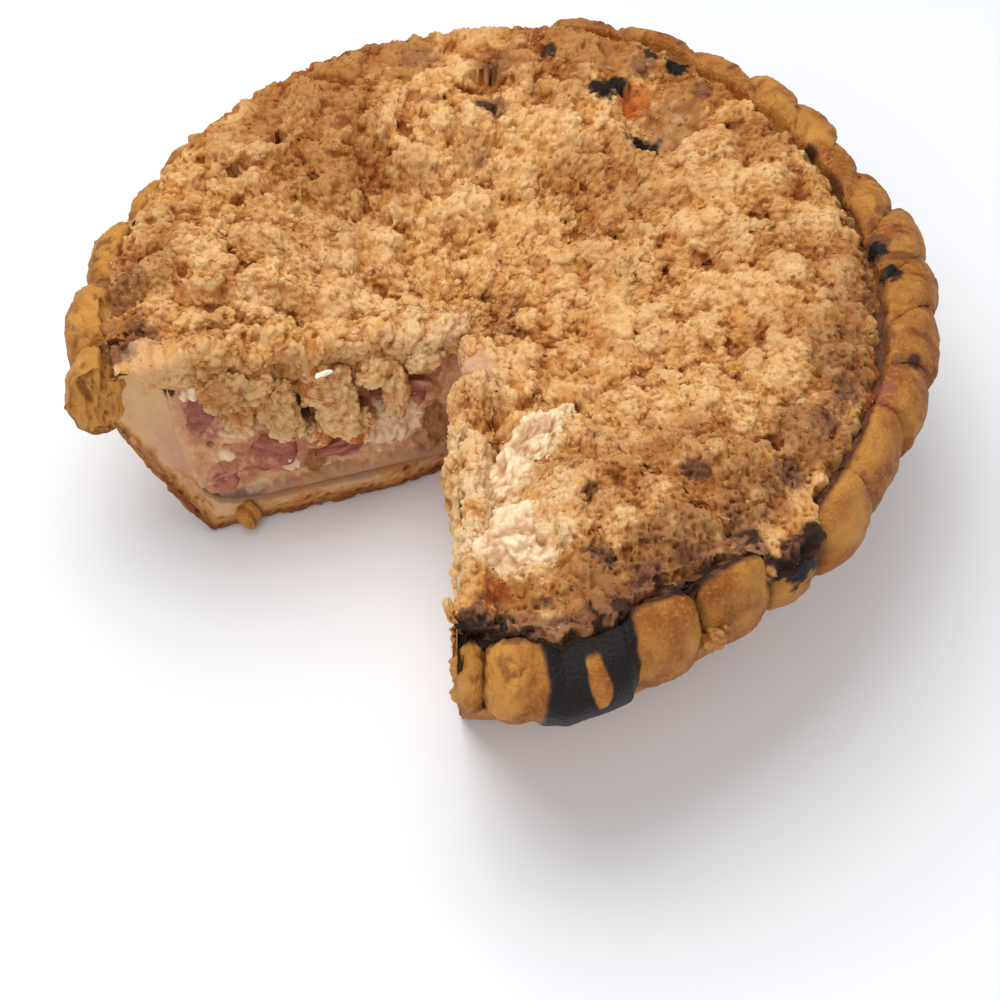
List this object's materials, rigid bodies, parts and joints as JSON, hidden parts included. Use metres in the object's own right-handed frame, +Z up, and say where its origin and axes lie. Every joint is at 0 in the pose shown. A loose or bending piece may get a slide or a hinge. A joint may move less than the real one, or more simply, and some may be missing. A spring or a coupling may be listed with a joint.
{
  "type": "rhubarb custard pie",
  "caption": "Deep-dish rhubarb custard pie with crumb topping and crimped crust, a slice cut out to show filling and rhubarb.",
  "frame": {"origin": "middle of the round underside, on the surface the pie stands on", "axes": "+Z up; the missing slice lies between -X and -Y, with one cut face along -Y and the other 16 degrees off -X"},
  "size_m": [0.2457, 0.2469, 0.0856],
  "materials": {
    "baked_crust": "browned shortcrust, satin",
    "custard": "moist set custard",
    "crumbs": "dry baked crumb",
    "rhubarb": "cooked rhubarb, moist"
  },
  "bodies": {
    "root": {"pastry_shell": "baked_crust", "custard_filling": "custard", "crumb_topping": "crumbs", "rhubarb_piece_01": "rhubarb", "rhubarb_piece_02": "rhubarb", "rhubarb_piece_03": "rhubarb", "rhubarb_piece_04": "rhubarb", "rhubarb_piece_05": "rhubarb", "rhubarb_piece_06": "rhubarb", "rhubarb_piece_07": "rhubarb", "rhubarb_piece_08": "rhubarb", "rhubarb_piece_09": "rhubarb", "rhubarb_piece_10": "rhubarb"}
  },
  "joints": []
}
